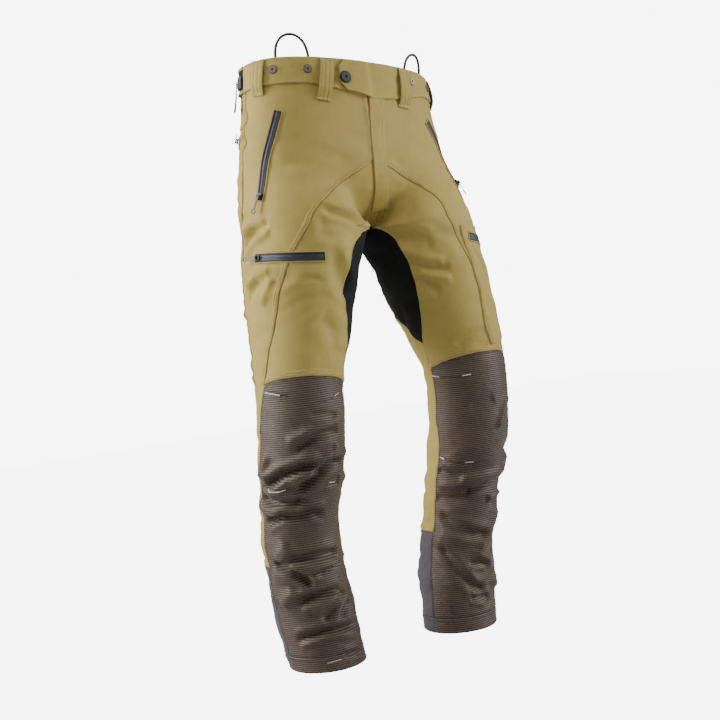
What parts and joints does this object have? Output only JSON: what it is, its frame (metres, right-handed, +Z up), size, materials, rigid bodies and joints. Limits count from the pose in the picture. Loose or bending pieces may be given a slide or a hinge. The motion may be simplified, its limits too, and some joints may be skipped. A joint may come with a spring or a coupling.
{
  "type": "chainsaw protective trousers",
  "caption": "Full-leg saw-protective work trousers with cut-resistant layers, zipped pockets, reinforced ribbed lower legs and hinged hip, knee and fly zones.",
  "frame": {"origin": "on the ground plane between the two hems", "axes": "+Z up, the wearer faces -Y, the wearer's right is at -X"},
  "size_m": [0.5272, 0.2639, 1.1432],
  "materials": {
    "khaki_softshell": "stretch softshell, fine twill, khaki",
    "brown_ripstop": "abrasion-resistant ribbed ripstop, dark brown",
    "black_stretch": "four-way stretch, black",
    "navy_zip_tape": "woven coil-zip tape, navy black",
    "cut_layers": "layered long-fibre cut-protection felt",
    "pocket_lining": "warp-knit lining, black",
    "elastic_webbing": "knitted elastic and webbing, dark navy",
    "black_cord": "braided cord with green tracer",
    "dark_metal": "gunmetal-plated zinc",
    "bright_metal": "nickel-plated brass stud"
  },
  "bodies": {
    "waist": {"hip_front_right": "khaki_softshell", "hip_front_left": "khaki_softshell", "seat_panel_right": "khaki_softshell", "seat_panel_left": "khaki_softshell", "back_yoke": "khaki_softshell", "fly_placket": "khaki_softshell", "fly_zip_tape": "navy_zip_tape", "waistband_right": "khaki_softshell", "waistband_left": "khaki_softshell", "waistband_back": "khaki_softshell", "side_elastics": "elastic_webbing", "adjuster_straps": "elastic_webbing", "belt_loops": "khaki_softshell", "hand_pocket_bags": "pocket_lining", "hand_zip_tapes": "navy_zip_tape", "rear_zip_tape": "navy_zip_tape", "crotch_gusset": "black_stretch", "brace_studs": "bright_metal", "snap_post": "bright_metal"},
    "thigh_right": {"thigh_front_right": "khaki_softshell", "thigh_back_right": "khaki_softshell", "thigh_gusset_right": "black_stretch", "knee_panel_right": "brown_ripstop", "thigh_pad_right": "cut_layers", "thigh_zip_tape_right": "navy_zip_tape", "thigh_pocket_bag_right": "pocket_lining"},
    "shin_right": {"shin_panel_right": "brown_ripstop", "calf_back_right": "khaki_softshell", "shin_pad_right": "cut_layers", "hem_band_right": "brown_ripstop"},
    "hand_slider_right": {"hand_zip_slider_right": "dark_metal"},
    "hand_pull_right": {"hand_zip_pull_right": "dark_metal"},
    "thigh_slider_right": {"thigh_zip_slider_right": "dark_metal"},
    "thigh_pull_right": {"thigh_zip_pull_right": "dark_metal"},
    "hang_cord_right": {"hang_cord_right": "black_cord"},
    "thigh_left": {"thigh_front_left": "khaki_softshell", "thigh_back_left": "khaki_softshell", "thigh_gusset_left": "black_stretch", "knee_panel_left": "brown_ripstop", "thigh_pad_left": "cut_layers", "thigh_zip_tape_left": "navy_zip_tape", "thigh_pocket_bag_left": "pocket_lining", "cargo_pocket_left": "khaki_softshell"},
    "shin_left": {"shin_panel_left": "brown_ripstop", "calf_back_left": "khaki_softshell", "shin_pad_left": "cut_layers", "hem_band_left": "brown_ripstop"},
    "hand_slider_left": {"hand_zip_slider_left": "dark_metal"},
    "hand_pull_left": {"hand_zip_pull_left": "dark_metal"},
    "thigh_slider_left": {"thigh_zip_slider_left": "dark_metal"},
    "thigh_pull_left": {"thigh_zip_pull_left": "dark_metal"},
    "hang_cord_left": {"hang_cord_left": "black_cord"},
    "rear_slider_right": {"rear_zip_slider_right": "dark_metal"},
    "rear_pull_right": {"rear_zip_pull_right": "dark_metal"},
    "fly_tab": {"fly_tab": "khaki_softshell", "snap_cap": "dark_metal"},
    "fly_zip": {"fly_zip_slider": "dark_metal", "fly_zip_pull": "dark_metal"}
  },
  "joints": [
    {"name": "hip_right", "type": "hinge", "parent": "waist", "child": "thigh_right", "pos_m": [-0.13, 0, 0.9], "axis": [-1, 0, 0], "range_deg": [-12, 45]},
    {"name": "knee_right", "type": "hinge", "parent": "thigh_right", "child": "shin_right", "pos_m": [-0.18, 0, 0.47], "axis": [1, 0, 0], "range_deg": [0, 80]},
    {"name": "hip_left", "type": "hinge", "parent": "waist", "child": "thigh_left", "pos_m": [0.13, 0, 0.9], "axis": [-1, 0, 0], "range_deg": [-12, 45]},
    {"name": "knee_left", "type": "hinge", "parent": "thigh_left", "child": "shin_left", "pos_m": [0.18, 0, 0.47], "axis": [1, 0, 0], "range_deg": [0, 80]},
    {"name": "fly_tab_open", "type": "hinge", "parent": "waist", "child": "fly_tab", "pos_m": [0.03329, -0.10787, 1.01999], "axis": [-0.0178, 0.0515, 0.9985], "range_deg": [0, 100]},
    {"name": "fly_zip_slide", "type": "slide", "parent": "waist", "child": "fly_zip", "axis": [0.0119, -0.0362, -0.9993], "range_m": [0, 0.085]},
    {"name": "hand_zip_slide_right", "type": "slide", "parent": "waist", "child": "hand_slider_right", "axis": [0.3163, -0.0884, 0.9445], "range_m": [0, 0.153]},
    {"name": "hand_pull_right_swing", "type": "hinge", "parent": "hand_slider_right", "child": "hand_pull_right", "pos_m": [-0.22018, -0.05357, 0.85823], "axis": [-0.3254, 0.9065, 0.269], "range_deg": [0, 120]},
    {"name": "hand_zip_slide_left", "type": "slide", "parent": "waist", "child": "hand_slider_left", "axis": [-0.3827, 0.0137, 0.9238], "range_m": [0, 0.12]},
    {"name": "hand_pull_left_swing", "type": "hinge", "parent": "hand_slider_left", "child": "hand_pull_left", "pos_m": [0.19252, -0.08727, 0.86318], "axis": [-0.8043, -0.5119, 0.3017], "range_deg": [0, 120]},
    {"name": "thigh_zip_slide_right", "type": "hinge", "parent": "thigh_right", "child": "thigh_slider_right", "pos_m": [-0.12718, -0.02822, 0.74433], "axis": [0.0689, -0.079, 0.9945], "range_deg": [0, 60.8]},
    {"name": "thigh_pull_right_swing", "type": "hinge", "parent": "thigh_slider_right", "child": "thigh_pull_right", "pos_m": [-0.24092, -0.05518, 0.75074], "axis": [0.1773, 0.0388, 0.9834], "range_deg": [0, 110]},
    {"name": "thigh_zip_slide_left", "type": "hinge", "parent": "thigh_left", "child": "thigh_slider_left", "pos_m": [0.12666, -0.02364, 0.76137], "axis": [-0.1393, 0.015, -0.9901], "range_deg": [0, 47.8]},
    {"name": "thigh_pull_left_swing", "type": "hinge", "parent": "thigh_slider_left", "child": "thigh_pull_left", "pos_m": [0.2431, -0.05885, 0.746], "axis": [0.158, -0.0909, -0.9832], "range_deg": [0, 110]},
    {"name": "rear_zip_slide_right", "type": "hinge", "parent": "waist", "child": "rear_slider_right", "pos_m": [-0.11798, 0.02891, 1.0096], "axis": [0.3022, -0.418, -0.8567], "range_deg": [0, 59.8]},
    {"name": "rear_pull_right_swing", "type": "hinge", "parent": "rear_slider_right", "child": "rear_pull_right", "pos_m": [-0.20019, 0.04745, 0.97495], "axis": [-0.228, -0.0567, -0.972], "range_deg": [0, 110]},
    {"name": "hang_cord_fold_right", "type": "hinge", "parent": "waist", "child": "hang_cord_right", "pos_m": [-0.12733, -0.06987, 1.08457], "axis": [-0.8923, 0.4447, 0.0782], "range_deg": [0, 70]},
    {"name": "hang_cord_fold_left", "type": "hinge", "parent": "waist", "child": "hang_cord_left", "pos_m": [0.12186, -0.07336, 1.0595], "axis": [-0.9098, -0.4013, 0.1055], "range_deg": [0, 70]}
  ]
}
